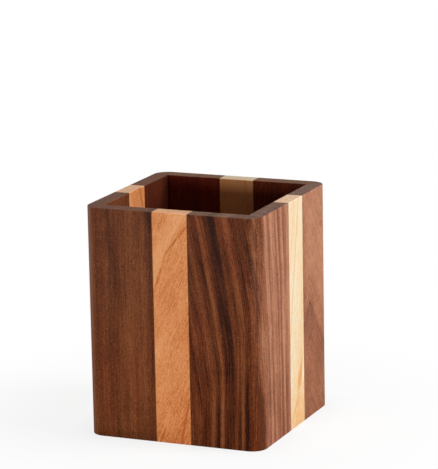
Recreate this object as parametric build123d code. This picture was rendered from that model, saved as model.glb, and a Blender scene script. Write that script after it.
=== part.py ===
from build123d import *
import os

# A square pen cup glued up from boards. Four walls meet in mitred corners that are rounded
# outside. Each wall is three upright staves glued edge to edge: dark, pale, dark. A base board
# sits in a rebate cut round the foot of the walls.
# The origin is the middle of the underside. X runs to the right, Y to the back and Z up.
# All sizes are in millimetres.

OUTER_WIDTH = 80.0  # left face to right face
OUTER_DEPTH = 80.0  # front face to back face
HEIGHT = 100.0
WALL = 7.0  # thickness of the boards that the walls are made of
CORNER_RADIUS = 6.5  # of the four upright corners, outside
EDGE_EASE = 0.3  # radius that the sandpaper leaves along the rim and the foot

STRIPE_WIDTH = 16.0  # each pale stave, edge to edge
FRONT_STRIPE_SHIFT = 0.0  # of a stripe's middle from the middle of its wall,
RIGHT_STRIPE_SHIFT = 2.0  # to the right on the front and back walls,
BACK_STRIPE_SHIFT = 0.0  # to the back on the side walls
LEFT_STRIPE_SHIFT = 0.0

BASE_THICKNESS = 5.0
REBATE_DEPTH = 3.5  # how far the base board's seat is cut into each wall
BASE_CLEARANCE = 0.1  # glue gap between the base board's edge and the rebate, each side

INNER_WIDTH = OUTER_WIDTH - 2 * WALL
INNER_DEPTH = OUTER_DEPTH - 2 * WALL
SEAT_WIDTH = INNER_WIDTH + 2 * REBATE_DEPTH
SEAT_DEPTH = INNER_DEPTH + 2 * REBATE_DEPTH


def ring_of_walls():
    """The four walls in one piece, before the mitres and the staves are cut."""
    outside = extrude(RectangleRounded(OUTER_WIDTH, OUTER_DEPTH, CORNER_RADIUS), HEIGHT)
    inside = extrude(Rectangle(INNER_WIDTH, INNER_DEPTH), HEIGHT)
    seat = extrude(Rectangle(SEAT_WIDTH, SEAT_DEPTH), BASE_THICKNESS)
    ring = outside - inside - seat
    rim_edges = ring.edges().group_by(Axis.Z)[-1]
    foot_edges = ring.faces().sort_by(Axis.Z)[0].outer_wire().edges()
    return fillet(rim_edges + foot_edges, EDGE_EASE)


def corners(width, depth):
    """A rectangle's corners in plan, anticlockwise from the front left."""
    x, y = width / 2, depth / 2
    return [(-x, -y), (x, -y), (x, y), (-x, y)]


def wall_block(side):
    """The mitred block of space that a wall fills: side 0 is the front, then anticlockwise."""
    outer = corners(OUTER_WIDTH, OUTER_DEPTH)
    inner = corners(INNER_WIDTH, INNER_DEPTH)
    after = (side + 1) % 4
    plan = Polygon(outer[side], outer[after], inner[after], inner[side], align=None)
    return extrude(plan, HEIGHT)


def stave_block(low, high, along_x):
    """A slab across the whole cup between two places along X, or else along Y."""
    if along_x:
        slab = Pos((low + high) / 2, 0) * Rectangle(high - low, OUTER_DEPTH)
    else:
        slab = Pos(0, (low + high) / 2) * Rectangle(OUTER_WIDTH, high - low)
    return extrude(slab, HEIGHT)


def staves(ring, side, stripe_shift):
    """The three staves of one wall, in the order of X or Y."""
    along_x = side % 2 == 0
    half_length = (OUTER_WIDTH if along_x else OUTER_DEPTH) / 2
    stripe_low = stripe_shift - STRIPE_WIDTH / 2
    stripe_high = stripe_shift + STRIPE_WIDTH / 2
    cuts = [-half_length, stripe_low, stripe_high, half_length]
    wall = ring & wall_block(side)
    return [wall & stave_block(low, high, along_x) for low, high in zip(cuts, cuts[1:])]


def base_board():
    """The board that closes the foot, flush with the underside of the walls."""
    width = SEAT_WIDTH - 2 * BASE_CLEARANCE
    depth = SEAT_DEPTH - 2 * BASE_CLEARANCE
    return extrude(Rectangle(width, depth), BASE_THICKNESS)


WALLS = [
    ("front_wall", FRONT_STRIPE_SHIFT, ("left_walnut", "cherry_stripe", "right_walnut")),
    ("right_wall", RIGHT_STRIPE_SHIFT, ("front_walnut", "maple_stripe", "rear_walnut")),
    ("back_wall", BACK_STRIPE_SHIFT, ("left_walnut", "maple_stripe", "right_walnut")),
    ("left_wall", LEFT_STRIPE_SHIFT, ("front_walnut", "cherry_stripe", "rear_walnut")),
]

os.makedirs("parts", exist_ok=True)
walls = ring_of_walls()
for side, (wall_name, shift, stave_names) in enumerate(WALLS):
    for stave_name, stave in zip(stave_names, staves(walls, side, shift)):
        export_step(stave, f"parts/{wall_name}_{stave_name}.step")
export_step(base_board(), "parts/base_board.step")
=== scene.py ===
import math

import bpy
from mathutils import Matrix, Vector


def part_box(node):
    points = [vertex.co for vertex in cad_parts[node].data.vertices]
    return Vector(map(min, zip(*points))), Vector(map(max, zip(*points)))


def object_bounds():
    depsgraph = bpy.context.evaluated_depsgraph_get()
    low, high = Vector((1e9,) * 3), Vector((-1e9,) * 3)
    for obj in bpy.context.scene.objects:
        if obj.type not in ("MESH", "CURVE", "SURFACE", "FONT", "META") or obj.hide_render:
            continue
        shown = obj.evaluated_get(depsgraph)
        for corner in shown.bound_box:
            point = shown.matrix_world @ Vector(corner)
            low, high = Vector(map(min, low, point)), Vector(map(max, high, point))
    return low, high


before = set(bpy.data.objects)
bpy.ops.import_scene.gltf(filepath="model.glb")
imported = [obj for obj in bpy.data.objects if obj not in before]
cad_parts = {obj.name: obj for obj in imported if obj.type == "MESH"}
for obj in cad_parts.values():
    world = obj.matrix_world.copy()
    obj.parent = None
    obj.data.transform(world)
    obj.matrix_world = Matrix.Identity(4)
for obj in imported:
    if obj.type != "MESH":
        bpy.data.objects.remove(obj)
cad_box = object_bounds()

# ---------------------------------------------------------------------------------- base board
# The board that closes the foot: a square of walnut with its grain running from left to right,
# let into the rebate round the foot of the walls, flush underneath and glued all round. The
# sawn wood that every piece of the cup is cut from is described here too.

MM = 1000.0  # object coordinates are in metres, and a board is measured in millimetres


def feed(tree, socket, value):
    """Links another node's output to a socket, or sets the socket to a plain value."""
    if isinstance(value, bpy.types.NodeSocket):
        tree.links.new(value, socket)
    else:
        socket.default_value = value


def add_node(tree, kind, inputs=None, **settings):
    """Adds a node with its settings. inputs are plain values or other nodes' outputs."""
    node = tree.nodes.new(kind)
    for name, value in settings.items():
        setattr(node, name, value)
    for socket, value in (inputs or {}).items():
        feed(tree, node.inputs[socket], value)
    return node


def maths(tree, operation, *values, clamp=False):
    node = add_node(tree, "ShaderNodeMath", operation=operation, use_clamp=clamp)
    for socket, value in zip(node.inputs, values):
        feed(tree, socket, value)
    return node.outputs[0]


def take_apart(tree, vector):
    return add_node(tree, "ShaderNodeSeparateXYZ", {"Vector": vector}).outputs


def put_together(tree, x, y, z):
    return add_node(tree, "ShaderNodeCombineXYZ", {"X": x, "Y": y, "Z": z}).outputs[0]


def blend_colours(tree, share, first, second, how="MIX"):
    """The first colour at a share of 0 and the second at 1. A Mix node keeps its colour inputs
    at 6 and 7, and its colour output at 2."""
    node = add_node(tree, "ShaderNodeMix", {"Factor": share}, data_type="RGBA", blend_type=how)
    feed(tree, node.inputs[6], first)
    feed(tree, node.inputs[7], second)
    return node.outputs[2]


def ease_between(tree, value, low, high):
    """0 below low, 1 above high and a soft step between them."""
    limits = {"Value": value, "From Min": low, "From Max": high}
    return add_node(tree, "ShaderNodeMapRange", limits, interpolation_type="SMOOTHSTEP").outputs["Result"]


def in_cells(tree, place, cell, seed):
    """A place counted in cells of so many millimetres each way, moved on by a seed."""
    seed_step = (13.7, 5.3, 29.1)
    scaled = add_node(tree, "ShaderNodeVectorMath", {0: place, 1: cell}, operation="DIVIDE")
    step = add_node(tree, "ShaderNodeVectorMath", {0: seed_step, "Scale": seed}, operation="SCALE")
    moved = {0: scaled.outputs[0], 1: step.outputs[0]}
    return add_node(tree, "ShaderNodeVectorMath", moved, operation="ADD").outputs[0]


def cloud(tree, place, cell, seed, detail=2.0, roughness=0.5):
    """Soft noise about 0.5 whose clouds have the size of the cell."""
    spot = in_cells(tree, place, cell, seed)
    values = {"Vector": spot, "Scale": 1.0, "Detail": detail, "Roughness": roughness}
    return add_node(tree, "ShaderNodeTexNoise", values).outputs["Fac"]


def new_group(name, inputs, outputs):
    """A shader node group. Inputs are (name, kind, value), and outputs are (name, kind)."""
    tree = bpy.data.node_groups.new(name, "ShaderNodeTree")
    for label, kind, value in inputs:
        socket = tree.interface.new_socket(label, in_out="INPUT", socket_type="NodeSocket" + kind)
        socket.default_value = value
    for label, kind in outputs:
        tree.interface.new_socket(label, in_out="OUTPUT", socket_type="NodeSocket" + kind)
    entry = tree.nodes.new("NodeGroupInput")
    return tree, entry.outputs, tree.nodes.new("NodeGroupOutput").inputs


def growth_group():
    """How a board lies in its log. It turns a place on the board into one that follows the grain,
    and tells which growth ring is there: millimetres outwards from the ring at the foot of the
    board's left edge. The rings are cones about the heart, wider at the foot by the taper. The
    grain leans to the right by Lean. Above Bend Height, which rises across the board by Bend
    Rise, it curves aside as well, by Bend in its first 100 mm."""
    tree, given, out = new_group(
        "growth",
        [
            ("Place", "Vector", (0, 0, 0)),
            ("Seed", "Float", 0.0),
            ("Lean", "Float", 0.0),
            ("Bend", "Float", 0.0),
            ("Bend Height", "Float", 30.0),
            ("Bend Rise", "Float", 0.0),
            ("Wander", "Float", 0.5),
            ("Heart Across", "Float", -120.0),
            ("Heart Depth", "Float", 20.0),
            ("Taper", "Float", 0.0),
        ],
        [("Grain", "Vector"), ("Ring", "Float")],
    )
    wander_cell = (12, 12, 40)
    bend_reach, bend_power = 100.0, 1.15
    place = take_apart(tree, given["Place"])
    sway = maths(tree, "SUBTRACT", cloud(tree, given["Place"], wander_cell, given["Seed"]), 0.5)
    widest = maths(tree, "MULTIPLY", given["Wander"], 2.0)
    swayed = maths(tree, "MULTIPLY_ADD", sway, widest, place["X"])
    start = maths(tree, "MULTIPLY_ADD", swayed, given["Bend Rise"], given["Bend Height"])
    above = maths(tree, "MAXIMUM", maths(tree, "SUBTRACT", place["Z"], start), 0.0)
    curve = maths(tree, "POWER", maths(tree, "DIVIDE", above, bend_reach), bend_power)
    bent = maths(tree, "MULTIPLY", curve, given["Bend"])
    leant = maths(tree, "MULTIPLY_ADD", place["Z"], given["Lean"], bent)
    across = maths(tree, "SUBTRACT", swayed, leant)

    def from_heart(aside, inward):
        aside = maths(tree, "MULTIPLY", aside, aside)
        return maths(tree, "SQRT", maths(tree, "MULTIPLY_ADD", inward, inward, aside))

    away = from_heart(maths(tree, "SUBTRACT", across, given["Heart Across"]),
                      maths(tree, "SUBTRACT", given["Heart Depth"], place["Y"]))
    away = maths(tree, "MULTIPLY_ADD", place["Z"], given["Taper"], away)
    at_edge = from_heart(given["Heart Across"], given["Heart Depth"])
    feed(tree, out["Grain"], put_together(tree, across, place["Y"], place["Z"]))
    feed(tree, out["Ring"], maths(tree, "SUBTRACT", away, at_edge))
    return tree


def fibre_group():
    """The fine make-up of the wood: fibres, bands of rings, clouds of tone and hue, flecks, grit
    and the open pores. Facing is the way the surface looks, with Z up the grain and Y towards the
    well: it tells the sawn ends from the outer faces, and gives the masks for a painted highlight on
    the upper arrises, painted shade on the faces in the well and a painted grey sheen, strongest on
    the rounded corners and growing towards the rim. Cells are (across, deep, along) the grain."""
    tree, given, out = new_group(
        "fibres",
        [
            ("Grain", "Vector", (0, 0, 0)),
            ("Ring", "Float", 0.0),
            ("Facing", "Vector", (0, 0, 0)),
            ("Seed", "Float", 0.0),
            ("Fibre Lean", "Float", 0.0),
            ("Fibre Width", "Float", 0.5),
            ("Fibre Length", "Float", 12.0),
            ("Pore Width", "Float", 0.36),
            ("Pore Length", "Float", 3.4),
            ("Fleck Length", "Float", 3.0),
        ],
        [("Fibre", "Float"), ("Band", "Float"), ("Mottle", "Float"), ("Hue", "Float"),
         ("Fleck", "Float"), ("Grit", "Float"), ("Pores", "Float"), ("Speckle", "Float"),
         ("End Grain", "Float"), ("Arris Highlight", "Float"), ("Inside", "Float"), ("Wear", "Float")],
    )
    band_cell, mottle_cell, hue_cell = (1.6, 1.0, 45.0), (8.0, 8.0, 16.0), (5.0, 5.0, 40.0)
    grit_cell, speckle_cell = (0.4, 0.4, 0.7), (0.6, 0.6, 4.0)
    fleck_width = 0.28
    hue_edge, pore_edge = (0.35, 0.65), (0.1, 0.3)
    smallest_pore = 0.3  # beside the widest, 1.3, in the same measure
    end_turn, arris_turn = (0.75, 0.97), (0.05, 0.4)  # 1 looks straight up the grain
    inside_turn, flat_turn = (0.5, 0.9), (0.78, 0.96)  # 1 is square to the board
    sheen_on_corners = 1.25  # beside 0.25 on a flat face
    sheen_heights = (5.0, 90.0)

    seed = given["Seed"]
    grain = take_apart(tree, given["Grain"])
    lean = maths(tree, "MULTIPLY", given["Fibre Lean"], -1.0)
    leant = maths(tree, "MULTIPLY_ADD", grain["Z"], lean, grain["X"])
    along = put_together(tree, leant, grain["Y"], grain["Z"])
    rings = put_together(tree, given["Ring"], 0.0, grain["Z"])

    thread = put_together(tree, given["Fibre Width"], given["Fibre Width"], given["Fibre Length"])
    feed(tree, out["Fibre"], cloud(tree, along, thread, seed, detail=3.0, roughness=0.6))
    feed(tree, out["Band"], cloud(tree, rings, band_cell, seed, detail=3.0, roughness=0.6))
    feed(tree, out["Mottle"], cloud(tree, given["Grain"], mottle_cell, seed))
    another_seed = maths(tree, "ADD", seed, 40.0)
    hue = cloud(tree, given["Grain"], hue_cell, another_seed, detail=3.0)
    feed(tree, out["Hue"], ease_between(tree, hue, *hue_edge))
    fleck = put_together(tree, fleck_width, fleck_width, given["Fleck Length"])
    feed(tree, out["Fleck"], cloud(tree, along, fleck, seed, detail=1.0))
    feed(tree, out["Grit"], cloud(tree, along, grit_cell, seed, detail=1.5))
    feed(tree, out["Speckle"], cloud(tree, given["Grain"], speckle_cell, seed, detail=1.5))

    cell = put_together(tree, given["Pore Width"], given["Pore Width"], given["Pore Length"])
    cells = {"Vector": in_cells(tree, along, cell, seed), "Scale": 1.0}
    pores = add_node(tree, "ShaderNodeTexVoronoi", cells, feature="F1").outputs
    size = maths(tree, "ADD", take_apart(tree, pores["Color"])["X"], smallest_pore)
    reach = maths(tree, "DIVIDE", pores["Distance"], size)
    feed(tree, out["Pores"], maths(tree, "SUBTRACT", 1.0, ease_between(tree, reach, *pore_edge)))

    facing = take_apart(tree, given["Facing"])
    ends = ease_between(tree, maths(tree, "ABSOLUTE", facing["Z"]), *end_turn)
    # The mask for a painted highlight along the upper arrises.
    upward = ease_between(tree, facing["Z"], *arris_turn)
    feed(tree, out["End Grain"], ends)
    feed(tree, out["Arris Highlight"], maths(tree, "SUBTRACT", upward, ends, clamp=True))
    # The mask for painted shade on the faces in the well.
    feed(tree, out["Inside"], ease_between(tree, facing["Y"], *inside_turn))
    # Painted grey sheen: most on the rounded corners, a quarter as much on flat faces, none on the sawn
    # ends, and growing from the foot towards the rim.
    flat = ease_between(tree, maths(tree, "ABSOLUTE", facing["Y"]), *flat_turn)
    rounded = maths(tree, "SUBTRACT", maths(tree, "SUBTRACT", sheen_on_corners, flat), ends, clamp=True)
    sheen_by_height = ease_between(tree, grain["Z"], *sheen_heights)
    feed(tree, out["Wear"], maths(tree, "MULTIPLY", rounded, sheen_by_height))
    return tree


def wood_colour_group():
    """Mixes a wood's dark, middle and light by the tone of its figure, tints what the fibre group
    tells apart, and gives the gloss and relief. A tint multiplies the colour under it."""
    tree, given, out = new_group(
        "wood colour",
        [
            ("Figure", "Float", 0.5),
            ("Fibre", "Float", 0.5),
            ("Band", "Float", 0.5),
            ("Mottle", "Float", 0.5),
            ("Hue", "Float", 0.5),
            ("Fleck", "Float", 0.5),
            ("Grit", "Float", 0.5),
            ("Pores", "Float", 0.0),
            ("Speckle", "Float", 0.5),
            ("End Grain", "Float", 0.0),
            ("Arris Highlight", "Float", 0.0),
            ("Inside", "Float", 0.0),
            ("Wear", "Float", 0.0),
            ("Glue Line", "Float", 0.0),
            ("Fibre Contrast", "Float", 0.5),
            ("Band Contrast", "Float", 0.5),
            ("Mottle Contrast", "Float", 0.3),
            ("Fleck Contrast", "Float", 0.5),
            ("Grit Contrast", "Float", 0.9),
            ("Hue Contrast", "Float", 0.5),
            ("Pore Depth", "Float", 0.5),
            ("Wear Contrast", "Float", 0.07),
            ("Dark", "Color", (0, 0, 0, 1)),
            ("Middle", "Color", (0.5, 0.5, 0.5, 1)),
            ("Light", "Color", (1, 1, 1, 1)),
            ("Inside Tint", "Color", (1, 1, 1, 1)),
            ("End Tint", "Color", (1, 1, 1, 1)),
            ("End Speckle", "Float", 0.5),
        ],
        [("Colour", "Color"), ("Roughness", "Float"), ("Relief", "Float")],
    )
    redder = (1.02, 0.84, 0.86, 1)
    pore_shade = (0.25, 0.16, 0.12, 1)
    pale_dot, dark_dot = (1.6, 1.58, 1.55, 1), (0.45, 0.42, 0.43, 1)
    dot_edge = (0.35, 0.65)
    # The grey of a painted sheen on the corners.
    painted_sheen_grey = (0.34, 0.29, 0.26, 1)
    # Painted highlight: the eased upper arrises made paler and bluer, as where they catch the light.
    painted_arris_highlight = (1.2, 1.25, 1.35, 1)
    glue_brown, glue_strength = (0.2, 0.14, 0.1, 1), 0.45
    end_evenness = 0.65  # how far the figure of the face fades on a sawn end
    smooth, fibre_roughness, pore_roughness = 0.46, 0.12, 0.15
    fibre_relief, pore_relief = 0.5, -1.0

    def tinted(share, colour, tint):
        return blend_colours(tree, share, colour, blend_colours(tree, 1.0, colour, tint, "MULTIPLY"))

    def share_of(mask, strength):
        return maths(tree, "MULTIPLY", given[mask], strength)

    tone = given["Figure"]
    for name in ("Fibre", "Band", "Mottle", "Fleck", "Grit"):
        change = maths(tree, "SUBTRACT", given[name], 0.5)
        tone = maths(tree, "MULTIPLY_ADD", change, given[name + " Contrast"], tone)
    to_middle = maths(tree, "SUBTRACT", 0.5, tone)
    tone = maths(tree, "MULTIPLY_ADD", to_middle, share_of("End Grain", end_evenness), tone)
    from_dark = maths(tree, "MULTIPLY", tone, 2.0, clamp=True)
    to_light = maths(tree, "MULTIPLY_ADD", tone, 2.0, -1.0, clamp=True)
    colour = blend_colours(tree, from_dark, given["Dark"], given["Middle"])
    colour = blend_colours(tree, to_light, colour, given["Light"])

    colour = tinted(share_of("Hue", given["Hue Contrast"]), colour, redder)
    colour = tinted(share_of("Pores", given["Pore Depth"]), colour, pore_shade)
    # Painted shade in the well: the inner faces tinted darker and redder.
    colour = tinted(given["Inside"], colour, given["Inside Tint"])
    # Partly the sawn ends' own colour and partly a painted grey sheen, as the rims show at a low angle.
    colour = tinted(given["End Grain"], colour, given["End Tint"])
    speckle = ease_between(tree, given["Speckle"], *dot_edge)
    dots = blend_colours(tree, speckle, pale_dot, dark_dot)
    colour = tinted(share_of("End Grain", given["End Speckle"]), colour, dots)
    # Painted sheen: the corners blended towards a pale grey, strongest high up.
    colour = blend_colours(tree, share_of("Wear", given["Wear Contrast"]), colour, painted_sheen_grey)
    # A painted highlight along the upper arrises.
    colour = tinted(given["Arris Highlight"], colour, painted_arris_highlight)
    colour = tinted(share_of("Glue Line", glue_strength), colour, glue_brown)

    rough = maths(tree, "MULTIPLY_ADD", given["Fibre"], fibre_roughness, smooth)
    rough = maths(tree, "MULTIPLY_ADD", given["Pores"], pore_roughness, rough)
    relief = maths(tree, "MULTIPLY_ADD", given["Pores"], pore_relief, share_of("Fibre", fibre_relief))
    feed(tree, out["Colour"], colour)
    feed(tree, out["Roughness"], rough)
    feed(tree, out["Relief"], relief)
    return tree


def mark_group():
    """A soft leaning oval on the board that is darker or lighter than the wood round it."""
    tree, given, out = new_group(
        "mark",
        [
            ("Grain", "Vector", (0, 0, 0)),
            ("Before", "Float", 0.0),
            ("Across", "Float", 0.0),
            ("Height", "Float", 0.0),
            ("Half Width", "Float", 1.0),
            ("Half Height", "Float", 10.0),
            ("Lean", "Float", 0.0),
            ("Change", "Float", 0.0),
            ("Crispness", "Float", 1.0),
        ],
        [("Figure", "Float")],
    )
    grain = take_apart(tree, given["Grain"])
    up = maths(tree, "SUBTRACT", grain["Z"], given["Height"])
    middle = maths(tree, "MULTIPLY_ADD", up, given["Lean"], given["Across"])
    aside = maths(tree, "DIVIDE", maths(tree, "SUBTRACT", grain["X"], middle), given["Half Width"])
    up = maths(tree, "DIVIDE", up, given["Half Height"])
    reach = maths(tree, "MULTIPLY_ADD", aside, aside, maths(tree, "MULTIPLY", up, up))
    inside = maths(tree, "SUBTRACT", 1.0, reach, clamp=True)
    soft = maths(tree, "MULTIPLY", inside, inside)
    soft = maths(tree, "MULTIPLY", soft, given["Crispness"], clamp=True)
    feed(tree, out["Figure"], maths(tree, "MULTIPLY_ADD", soft, given["Change"], given["Before"]))
    return tree


def glue_line_group():
    """The hairline of dark glue along a board's two side edges. An edge is square to the face, or
    mitred: then it runs back at 45 degrees from a corner that lies outset from the edge."""
    tree, given, out = new_group(
        "glue line",
        [
            ("Place", "Vector", (0, 0, 0)),
            ("Width", "Float", 1000.0),
            ("Left Mitre", "Float", 0.0),
            ("Right Mitre", "Float", 0.0),
            ("Outset", "Float", 0.0),
        ],
        [("Glue Line", "Float")],
    )
    dark_to, gone_by = 0.05, 0.3  # from the edge
    place = take_apart(tree, given["Place"])
    slope = maths(tree, "SUBTRACT", given["Outset"], place["Y"])
    left = maths(tree, "MULTIPLY_ADD", given["Left Mitre"], slope, place["X"])
    right = maths(tree, "SUBTRACT", given["Width"], place["X"])
    right = maths(tree, "MULTIPLY_ADD", given["Right Mitre"], slope, right)
    nearest = maths(tree, "MINIMUM", left, right)
    clear = ease_between(tree, nearest, dark_to, gone_by)
    feed(tree, out["Glue Line"], maths(tree, "SUBTRACT", 1.0, clear))
    return tree


growth = growth_group()
fibres = fibre_group()
wood_colour = wood_colour_group()
mark = mark_group()
glue_line = glue_line_group()

WALNUT = {
    "Dark": (0.023, 0.0052, 0.0014, 1),
    "Middle": (0.125, 0.0345, 0.0098, 1),
    "Light": (0.26, 0.083, 0.026, 1),
    "End Tint": (0.88, 1.08, 1.5, 1),
    "End Speckle": 0.8,
    "Fibre Contrast": 0.5,
    "Band Contrast": 0.6,
    "Mottle Contrast": 0.4,
    "Fleck Contrast": 0.4,
    "Hue Contrast": 0.7,
    "Pore Depth": 0.8,
}


def add_group(tree, group, values):
    """Places a group in a material and sets each of its inputs that the values name."""
    node = add_node(tree, "ShaderNodeGroup", node_tree=group)
    for name, value in values.items():
        if name in node.inputs:
            feed(tree, node.inputs[name], value)
    return node.outputs


def streak_tone(tree, ring, streaks):
    """The tone of the ring, which eases from each streak's tone to the next one's."""
    first, last = streaks[0][0], streaks[-1][0]
    place = maths(tree, "DIVIDE", maths(tree, "SUBTRACT", ring, first), last - first)
    node = add_node(tree, "ShaderNodeValToRGB", {"Fac": place})
    node.color_ramp.interpolation = "EASE"
    stops = node.color_ramp.elements
    while len(stops) < len(streaks):
        stops.new(0.5)
    for stop, (streak_ring, tone) in zip(stops, streaks):
        stop.position = (streak_ring - first) / (last - first)
        stop.color = (tone, tone, tone, 1)
    return node.outputs["Color"]


def wood_material(name, turned, corner, wood, streaks, marks=(), **values):
    """A board's wood. turned and corner bring the board upright with its outer face in front, its
    left edge at X = 0 and its depth along Y. streaks are (ring, tone) and marks are (across,
    height, half width, half height, lean, change of tone), all in millimetres. A seventh number
    makes a mark crisper than 1 does. Other values are the groups' inputs by name."""
    values = {**wood, **{key.replace("_", " ").title(): value for key, value in values.items()}}
    material = bpy.data.materials.new(name)
    material.use_nodes = True
    tree = material.node_tree
    tree.nodes.clear()
    spot = add_node(tree, "ShaderNodeTexCoord").outputs["Object"]
    upright = {"Vector": spot, "Location": corner, "Rotation": turned, "Scale": (MM, MM, MM)}
    values["Place"] = add_node(tree, "ShaderNodeMapping", upright).outputs[0]
    normal = add_node(tree, "ShaderNodeNewGeometry").outputs["Normal"]
    facing = {"Vector": normal, "Rotation": turned}
    values["Facing"] = add_node(tree, "ShaderNodeMapping", facing, vector_type="NORMAL").outputs[0]
    for group in (growth, fibres, glue_line):
        values.update({socket.name: socket for socket in add_group(tree, group, values)})

    figure = streak_tone(tree, values["Ring"], streaks)
    for across, height, half_width, half_height, lean, change, *crispness in marks:
        figure = add_group(tree, mark, {
            "Grain": values["Grain"], "Before": figure, "Across": across, "Height": height,
            "Half Width": half_width, "Half Height": half_height, "Lean": lean, "Change": change,
            "Crispness": crispness[0] if crispness else 1.0,
        })["Figure"]

    look = add_group(tree, wood_colour, {**values, "Figure": figure})
    relief = {"Strength": 0.35, "Distance": 0.0001, "Height": look["Relief"]}
    surface = add_node(
        tree, "ShaderNodeBsdfPrincipled",
        {
            "Base Color": look["Colour"],
            "Roughness": look["Roughness"],
            "Normal": add_node(tree, "ShaderNodeBump", relief).outputs[0],
            "Specular IOR Level": 0.035,
        },
    )
    add_node(tree, "ShaderNodeOutputMaterial", {"Surface": surface.outputs[0]})
    return material


def finish_node(node_name, material):
    """Gives a piece of the frame its material, in place of the plain one."""
    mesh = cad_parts[node_name].data
    mesh.materials.clear()
    mesh.materials.append(material)


base_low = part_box("base_board")[0]
lying = Matrix(((0, 1, 0), (0, 0, 1), (1, 0, 0))).to_euler("XYZ")  # its grain, along X, turns up
finish_node("base_board", wood_material(
    "base_walnut", lying, (-base_low.y * MM, 0, -base_low.x * MM), WALNUT,
    [(0, 0.45), (12, 0.5), (20, 0.35), (26, 0.55), (44, 0.45), (52, 0.6), (73, 0.5)], seed=3.1,
))

# ---------------------------------------------------------------------------------- front wall
# Three upright staves glued edge to edge, walnut, cherry and walnut, sanded flush and oiled. The
# walnut staves are mitred into the side walls at the corners, which are rounded outside.

low, high = cad_box
HALF = high.x * MM
MITRE_FROM = HALF - 2.0  # a stave whose box reaches further out than this is mitred there


def stave(node_name, side, wood, streaks, **values):
    """The wood of an upright stave in wall 0 (front), 1 (right), 2 (back) or 3 (left)."""
    turn = Matrix.Rotation(math.radians(-90 * side), 3, "Z")
    corners = [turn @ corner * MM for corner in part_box(node_name)]
    left = min(corner.x for corner in corners)
    right = max(corner.x for corner in corners)
    material = wood_material(
        node_name.replace("_wall", ""), turn.to_euler("XYZ"), (-left, HALF, 0), wood, streaks,
        width=right - left, outset=HALF + min(left, -right),
        left_mitre=float(left < -MITRE_FROM), right_mitre=float(right > MITRE_FROM), **values,
    )
    finish_node(node_name, material)


CHERRY = {
    "Dark": (0.44, 0.115, 0.024, 1),
    "Middle": (0.65, 0.245, 0.083, 1),
    "Light": (0.74, 0.345, 0.15, 1),
    "End Tint": (1.02, 1.42, 2.25, 1),
    "End Speckle": 0.3,
    "Fibre Contrast": 1.2,
    "Band Contrast": 0.5,
    "Mottle Contrast": 0.6,
    "Fleck Contrast": 0.8,
    "Grit Contrast": 1.1,
    "Hue Contrast": 0.1,
    "Pore Depth": 0.0,
    "Fibre Width": 0.3,
    "Fibre Length": 6.0,
    "Fleck Length": 1.2,
    "Fibre Lean": 0.42,
    "Wander": 0.6,
}

stave("front_wall_left_walnut", 0, WALNUT,
      [(0, 0.52), (4, 0.46), (7, 0.52), (12, 0.5), (18, 0.57), (25, 0.58), (29, 0.44), (31, 0.46)],
      marks=[(9.5, 100, 2.2, 34, -0.05, -0.26), (13, 72, 2.6, 26, -0.1, -0.16),
             (3.5, 74, 0.7, 26, 0, -0.18), (28.6, 88, 2.8, 36, 0, -0.22),
             (28.9, 35, 1.2, 60, 0, -0.08), (20, 40, 8, 34, 0, 0.07), (5, 55, 4, 30, 0, -0.04),
             # The wide mark at height -3 is painted shade along the foot.
             (15, -3, 40, 10, 0, -0.2), (28.5, 101, 4, 13, 0, -0.3)],
      fibre_contrast=0.38, mottle_contrast=0.3, wear_contrast=0.09, seed=1.0)
stave("front_wall_cherry_stripe", 0, CHERRY,
      [(-4, 0.36), (2, 0.42), (6, 0.5), (7.2, 0.46), (7.9, 0.86), (10, 0.66), (12, 0.56)],
      marks=[(11, 88.8, 0.9, 10, 0.82, -0.5), (2.4, 71.8, 0.9, 15, 0.36, -0.5),
             (5.8, 81.8, 0.8, 4, 0.55, -0.3), (13.3, 9, 0.7, 16, 0.2, -0.8),
             # The wide mark at height -6 is painted shade along the foot.
             (2.9, 3, 0.8, 6.5, 0.42, -0.6), (8, -6, 20, 16, 0, -0.2), (5, 38, 5, 26, 0.25, 0.1),
             (2, 42, 3, 12, 0.25, 0.2), (13, 60, 3, 20, 0.1, 0.06), (4.5, 96, 2.5, 6, 0.5, -0.25)],
      heart_across=20.0, heart_depth=50.0, taper=0.115, seed=2.0)
stave("front_wall_right_walnut", 0, WALNUT,
      [(0, 0.36), (2.5, 0.46), (5, 0.28), (6.6, 0.4), (8.5, 0.34), (10.3, 0.66), (11.4, 0.42),
       (12.4, 0.2), (14.4, 0.76), (15.4, 0.4), (16.4, 0.14), (18.6, 0.12), (20.6, 0.44), (21.8, 0.38),
       (23.6, 0.7), (25.5, 0.22), (28, 0.52), (29.3, 0.42), (31, 0.54), (34, 0.95)],
      marks=[(25.2, 22, 1.6, 28, 0, -0.2), (28.5, 88, 2.2, 26, 0, -0.3), (28.4, 50, 2.4, 24, 0, 0.12),
             (24, 4, 6, 32, 0, -0.16), (26.5, 92, 7, 34, 0, 0.16), (7.2, 100, 2.8, 14, 0, -0.45),
             (19.2, 99, 2, 12, 0, -0.35), (31.4, 79, 1.4, 22, 0, 0.25)],
      bend=-15.0, bend_height=10.0, bend_rise=1.62, lean=0.018, wander=0.4,
      dark=(0.021, 0.0036, 0.0004, 1), middle=(0.127, 0.0315, 0.0078, 1), light=(0.26, 0.086, 0.029, 1),
      end_tint=(1.03, 2.1, 4.4, 1), fibre_contrast=1.2, band_contrast=1.1, fleck_contrast=0.6,
      fibre_width=0.4, fibre_length=35.0, pore_width=0.45, pore_depth=1.0, seed=3.0)

# ---------------------------------------------------------------------------------- right wall
# Walnut, maple and walnut, glued up and sanded in the same way. This walnut is a lit copy of the
# front's walnut, paler and greyer: painted light and sheen for the side that the light from the
# right falls on. The rear stave was sawn right at a heart, so its rings show as flames.

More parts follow.
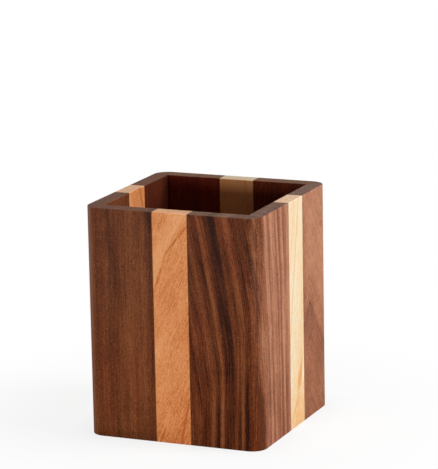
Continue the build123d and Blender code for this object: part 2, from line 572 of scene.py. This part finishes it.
MAPLE = {
    "Dark": (0.59, 0.29, 0.095, 1),
    "Middle": (0.635, 0.452, 0.257, 1),
    "Light": (0.63, 0.555, 0.41, 1),
    "End Tint": (1.2, 1.08, 1.15, 1),
    "End Speckle": 0.3,
    "Fibre Contrast": 1.1,
    "Band Contrast": 0.4,
    "Mottle Contrast": 0.3,
    "Fleck Contrast": 1.0,
    "Hue Contrast": 0.0,
    "Pore Depth": 0.0,
    "Fibre Width": 0.3,
    "Fibre Length": 6.0,
    "Wander": 0.5,
}
# A lit copy of the walnut: its paler, greyer colours are painted light and sheen for the lit right side.
LIT_SIDE_WALNUT = {
    **WALNUT,
    "Dark": (0.098, 0.030, 0.0115, 1),
    "Middle": (0.24, 0.089, 0.04, 1),
    "Light": (0.41, 0.19, 0.1, 1),
    "End Tint": (0.6, 0.82, 1.15, 1),
    "Fibre Contrast": 0.9,
    "Band Contrast": 0.6,
    "Hue Contrast": 0.5,
}

stave("right_wall_front_walnut", 1, LIT_SIDE_WALNUT,
      [(0, 0.3), (2.4, 0.26), (3.4, 0.48), (5, 0.62), (6.5, 0.6), (7.5, 0.5), (8.8, 0.38), (10.6, 0.86),
       (11.6, 0.86), (13.4, 0.4), (14.6, 0.72), (16.2, 0.86), (18.3, 0.72), (19.7, 0.5), (21.3, 0.8),
       (23.2, 0.3), (24.2, 0.7), (25.5, 1), (27.8, 0.56), (29, 0.64), (31, 0.9)],
      # The first two marks darken the board on its rounded corner: partly its figure, partly painted shade
      # where the corner turns from the light.
      marks=[(4.3, 80, 4.4, 46, 0.08, -0.36, 3), (1.8, 8, 3.4, 28, 0, -0.3, 3),
             # The mark at height -2 is painted shade that darkens the board towards the foot.
             (22, -2, 14, 38, 0, -0.22), (26, 92, 8, 36, 0, -0.12), (14, 20, 10, 15, 0, -0.2),
             (27.6, 23, 2.6, 14, 0, -0.3), (6.6, 85, 1.2, 13, 0.08, 0.2)],
      bend=-6.0, bend_height=5.0, bend_rise=2.6, lean=-0.012, wander=0.3,
      # Its own colours are still far paler than the front's walnut: painted light and sheen.
      dark=(0.085, 0.024, 0.0085, 1), middle=(0.21, 0.074, 0.033, 1), light=(0.385, 0.178, 0.097, 1),
      fibre_contrast=1.1, band_contrast=0.9, wear_contrast=0.01, seed=4.0)
stave("right_wall_maple_stripe", 1, MAPLE,
      [(-16, 0.45), (-8, 0.5), (0, 0.65), (6, 0.8), (6.6, 0.0), (7.2, 0.75), (11.5, 0.75), (12, 0.3),
       (12.5, 0.75), (18, 0.75)],
      marks=[(5.2, 8.2, 1, 10, 0.66, -0.6), (11.3, 21.5, 3.2, 7, 0.35, -0.6, 2),
             (13.4, 28, 1.4, 5.5, 0.25, -0.4), (14.8, 22.5, 1, 5, 0, 0.9, 4),
             # The wide mark at height -8 is painted shade that darkens the stripe towards the foot.
             (11.2, 15.6, 0.7, 2.6, -0.2, 0.3), (8, -8, 20, 34, 0, -0.3),
             (9.5, 66, 0.5, 5, 0.1, -0.35)],
      heart_across=130.0, taper=0.18, seed=5.0)
stave("right_wall_rear_walnut", 1, LIT_SIDE_WALNUT,
      [(-7, 0.42), (2, 0.47), (12, 0.45), (20, 0.4), (28.2, 0.36), (28.9, 0.08), (29.6, 0.5),
       (33, 0.58), (36, 0.62), (37, 0.57), (38, 0.65), (46, 0.74), (54, 0.8), (62, 0.74), (78, 0.68)],
      marks=[(0.5, 72, 4.5, 42, 0, -0.26)],
      heart_across=7.7, heart_depth=1.0, taper=0.7, wander=0.6, end_tint=(0.53, 0.73, 1.02, 1),
      fibre_lean=0.25, fibre_length=3.0, seed=6.0)

# ---------------------------------------------------------------------------------- back wall
# Walnut, maple and walnut, made like the right wall. In the well the wood is painted darker and
# redder than outside, painted shade, most of all on this wall, which the light from the right
# passes by. The walnut staves' streaks are set darker as well: painted shade that also darkens
# their outer faces.

stave("back_wall_left_walnut", 2, WALNUT,
      [(0, 0.34), (6, 0.4), (9, 0.24), (12, 0.42), (20, 0.46), (24, 0.32), (31, 0.4)],
      inside_tint=(1.22, 0.42, 0.3, 1), end_tint=(1.02, 1.66, 2.3, 1), lean=0.02, seed=7.0)
stave("back_wall_maple_stripe", 2, MAPLE,
      [(-6, 0.6), (4, 0.65), (5, 0.35), (6, 0.65), (12, 0.6), (24, 0.6)],
      inside_tint=(1.05, 0.6, 0.36, 1), end_tint=(0.9, 1.0, 1.15, 1),
      heart_across=100.0, taper=0.1, seed=8.0)
stave("back_wall_right_walnut", 2, WALNUT,
      [(0, 0.32), (4, 0.4), (10, 0.46), (13, 0.22), (16, 0.4), (24, 0.36), (31, 0.46)],
      inside_tint=(1.1, 0.6, 0.3, 1), end_tint=(1.02, 1.66, 2.3, 1), bend=-8.0, seed=9.0)

# ---------------------------------------------------------------------------------- left wall
# Walnut, cherry and walnut, made like the front wall. The inner face of its rear stave is painted
# dark, like the back wall's, and its streaks are set darker: painted shade. The front stave's
# streaks are set lighter: painted light for its inner face, which the light from the right falls on.

stave("left_wall_front_walnut", 3, WALNUT,
      [(0, 0.5), (8, 0.58), (14, 0.66), (20, 0.54), (26, 0.66), (31, 0.56)],
      end_tint=(0.75, 1.08, 1.7, 1), seed=10.0)
stave("left_wall_cherry_stripe", 3, CHERRY,
      [(-4, 0.45), (3, 0.5), (3.6, 0.15), (4.4, 0.6), (8, 0.5), (12, 0.5)],
      end_tint=(1.02, 1.6, 2.8, 1), heart_across=22.0, heart_depth=40.0, taper=0.12, seed=11.0)
stave("left_wall_rear_walnut", 3, WALNUT,
      [(0, 0.28), (6, 0.4), (12, 0.24), (18, 0.42), (25, 0.36), (31, 0.28)],
      inside_tint=(0.74, 0.42, 0.22, 1), bend=-6.0, seed=12.0)

# ---------------------------------------------------------------------------------- floor
# A plain white floor. Beside the cup a share of it is matt and takes the cup's soft shadow, and a
# little way out it fades into the white surround.

FLOOR_HALF = 4.0
FADE_START = 0.06  # from the cup's middle
FADE_END = 0.16
GLOW_BESIDE_CUP = 0.8  # the share of the floor's white that no shadow darkens

floor_corners = [(-FLOOR_HALF, -FLOOR_HALF, 0), (FLOOR_HALF, -FLOOR_HALF, 0),
                 (FLOOR_HALF, FLOOR_HALF, 0), (-FLOOR_HALF, FLOOR_HALF, 0)]
floor_mesh = bpy.data.meshes.new("floor")
floor_mesh.from_pydata(floor_corners, [], [(0, 1, 2, 3)])
floor = bpy.data.objects.new("floor", floor_mesh)
bpy.context.scene.collection.objects.link(floor)


def seen_rays(tree):
    """1 for the rays that show a background: to the camera, mirrored and through glass."""
    path = add_node(tree, "ShaderNodeLightPath").outputs
    seen = maths(tree, "MAXIMUM", path["Is Camera Ray"], path["Is Glossy Ray"])
    return maths(tree, "MAXIMUM", seen, path["Is Transmission Ray"])


floor_material = bpy.data.materials.new("white_floor")
floor_material.use_nodes = True
tree = floor_material.node_tree
tree.nodes.clear()
spot = add_node(tree, "ShaderNodeTexCoord").outputs["Object"]
radius = add_node(tree, "ShaderNodeVectorMath", {0: spot}, operation="LENGTH").outputs["Value"]
fade = ease_between(tree, radius, FADE_START, FADE_END)
glow_share = maths(tree, "MULTIPLY_ADD", fade, 1.0 - GLOW_BESIDE_CUP, GLOW_BESIDE_CUP)
glow_share = maths(tree, "MULTIPLY", glow_share, seen_rays(tree))
matt = add_node(tree, "ShaderNodeBsdfDiffuse", {"Color": (0.9, 0.9, 0.9, 1)})
glow = add_node(tree, "ShaderNodeEmission", {"Color": (1, 1, 1, 1), "Strength": 1.0})
mixed = add_node(tree, "ShaderNodeMixShader", {0: glow_share, 1: matt.outputs[0], 2: glow.outputs[0]})
add_node(tree, "ShaderNodeOutputMaterial", {"Surface": mixed.outputs[0]})
floor_mesh.materials.append(floor_material)

# ---------------------------------------------------------------------------------- light
# A big soft box low on the right, a narrow one overhead, and low strips round the other sides
# that reach the walls but not the well. The surround looks white but hardly lights the cup.

SURROUND_LEVEL = 0.06

world = bpy.data.worlds.new("surround")
bpy.context.scene.world = world
world.use_nodes = True
tree = world.node_tree
tree.nodes.clear()
dim = add_node(tree, "ShaderNodeBackground", {"Color": (1, 1, 1, 1), "Strength": SURROUND_LEVEL})
white = add_node(tree, "ShaderNodeBackground", {"Color": (1, 1, 1, 1), "Strength": 1.0})
mixed = add_node(tree, "ShaderNodeMixShader", {0: seen_rays(tree), 1: dim.outputs[0], 2: white.outputs[0]})
add_node(tree, "ShaderNodeOutputWorld", {"Surface": mixed.outputs[0]})

CUP_MIDDLE = Vector((0, 0, high.z / 2))


def soft_box(name, place, width, height, level):
    """A lamp panel that faces the cup. level is how bright it makes a white surface there."""
    data = bpy.data.lights.new(name, "AREA")
    data.shape = "RECTANGLE"
    data.size = width
    data.size_y = height
    away = Vector(place) - CUP_MIDDLE
    data.energy = level * math.pi ** 2 * away.length_squared
    lamp = bpy.data.objects.new(name, data)
    lamp.location = place
    lamp.rotation_mode = "QUATERNION"
    lamp.rotation_quaternion = away.to_track_quat("Z", "Y")
    lamp.visible_camera = False
    bpy.context.scene.collection.objects.link(lamp)


soft_box("key", (1.25, 0.22, 0.5), width=0.7, height=0.6, level=1.0)
soft_box("front_panel", (-0.15, -1.3, 0.11), width=1.2, height=0.22, level=0.56)
soft_box("left_strip", (-1.3, 0.1, 0.055), width=1.2, height=0.08, level=0.4)
soft_box("back_strip", (0, 1.3, 0.055), width=1.2, height=0.08, level=0.4)
soft_box("overhead", (0, 0, 1.6), width=0.4, height=0.4, level=0.5)

# ---------------------------------------------------------------------------------- camera
# A long lens from the front right, a little above the rim and turned a degree from level, as the
# photograph of 438 by 469 pixels was taken.

PHOTO_HEIGHT = 469  # pixels, the photograph's longer side
FOCAL_LENGTH = 2727.0  # in the same pixels
SENSOR = 36.0  # millimetres
AZIMUTH = math.radians(23.171)
ELEVATION = math.radians(12.754)
ROLL = math.radians(-1.072)
AIM = Vector((0.0225, -0.040, 0.0925))  # a point on the front face, close under the rim
DISTANCE = 1.126707  # from there, in metres

camera_data = bpy.data.cameras.new("camera")
camera_data.sensor_width = SENSOR
camera_data.lens = FOCAL_LENGTH / PHOTO_HEIGHT * SENSOR
camera = bpy.data.objects.new("camera", camera_data)
backward = Vector((math.sin(AZIMUTH) * math.cos(ELEVATION),
                   -math.cos(AZIMUTH) * math.cos(ELEVATION),
                   math.sin(ELEVATION)))
level_right = Vector((math.cos(AZIMUTH), math.sin(AZIMUTH), 0))
level_up = backward.cross(level_right)
camera_right = math.cos(ROLL) * level_right + math.sin(ROLL) * level_up
camera_up = -math.sin(ROLL) * level_right + math.cos(ROLL) * level_up
turned = Matrix((camera_right, camera_up, backward)).transposed().to_4x4()
camera.matrix_world = Matrix.Translation(AIM + backward * DISTANCE) @ turned
bpy.context.scene.collection.objects.link(camera)
bpy.context.scene.camera = camera
bpy.context.scene.view_settings.view_transform = "Standard"
